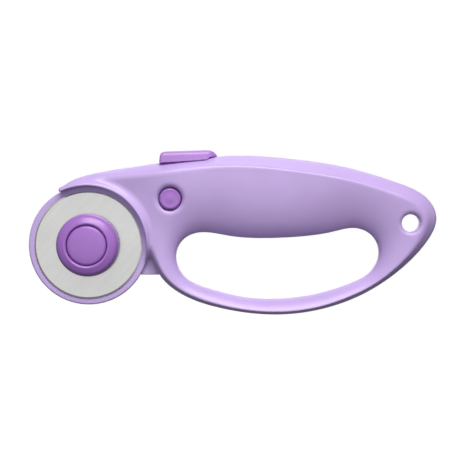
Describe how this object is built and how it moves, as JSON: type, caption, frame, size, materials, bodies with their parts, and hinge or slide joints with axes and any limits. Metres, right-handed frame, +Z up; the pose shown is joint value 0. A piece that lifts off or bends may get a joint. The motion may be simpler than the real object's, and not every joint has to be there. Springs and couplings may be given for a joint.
{
  "type": "rotary cutter",
  "caption": "Hand-held rotary fabric cutter: a two-shell closed loop handle, a round blade on a quick-release knob, a sliding guard disc and a cross-bolt lock.",
  "frame": {"origin": "on the blade's axis, in the flat back of the handle, at the middle of the axle pin's flat head", "axes": "+X from the blade towards the hanging hole, +Z up towards the thumb slide, +Y out of the flat back, so the blade side faces -Y"},
  "size_m": [0.1716, 0.021, 0.069],
  "materials": {
    "handle_plastic": "fine satin moulded plastic, pale lilac, soft wide highlights",
    "control_plastic": "fine satin moulded plastic, mid purple, slightly smoother than the handle",
    "blade_steel": "fine straight-ground hard steel with a bright ground bevel at the rim",
    "hardware_steel": "turned or drawn steel with light machining marks",
    "dark_steel": "dark zinc-plated steel"
  },
  "bodies": {
    "handle": {"handle_shell_front": "handle_plastic", "handle_shell_rear": "handle_plastic", "casing_screw_1": "dark_steel", "casing_screw_2": "dark_steel", "casing_screw_3": "dark_steel", "casing_screw_4": "dark_steel", "casing_screw_5": "dark_steel", "axle_pin": "hardware_steel", "blade_washer": "hardware_steel", "slide_detent_spring": "hardware_steel", "lock_detent_clip": "hardware_steel"},
    "guard": {"blade_guard": "handle_plastic", "thumb_slide": "control_plastic"},
    "wheel": {"cutting_blade": "blade_steel", "blade_knob": "control_plastic", "knob_bush": "hardware_steel", "latch_ball_1": "hardware_steel", "latch_ball_2": "hardware_steel", "latch_ball_3": "hardware_steel", "release_spring": "hardware_steel"},
    "release": {"release_button": "control_plastic"},
    "lock": {"lock_button": "control_plastic"}
  },
  "joints": [
    {"name": "guard_slide", "type": "slide", "parent": "handle", "child": "guard", "axis": [0.9945, 0, 0.1045], "range_m": [0, 0.009]},
    {"name": "blade_spin", "type": "hinge", "parent": "handle", "child": "wheel", "pos_m": [0, -0.0116, 0], "axis": [0, 1, 0], "continuous": true},
    {"name": "release_press", "type": "slide", "parent": "wheel", "child": "release", "axis": [0, 1, 0], "range_m": [0, 0.0015], "deforming": ["release_spring"]},
    {"name": "lock_press", "type": "slide", "parent": "handle", "child": "lock", "axis": [0, 1, 0], "range_m": [0, 0.003]}
  ]
}
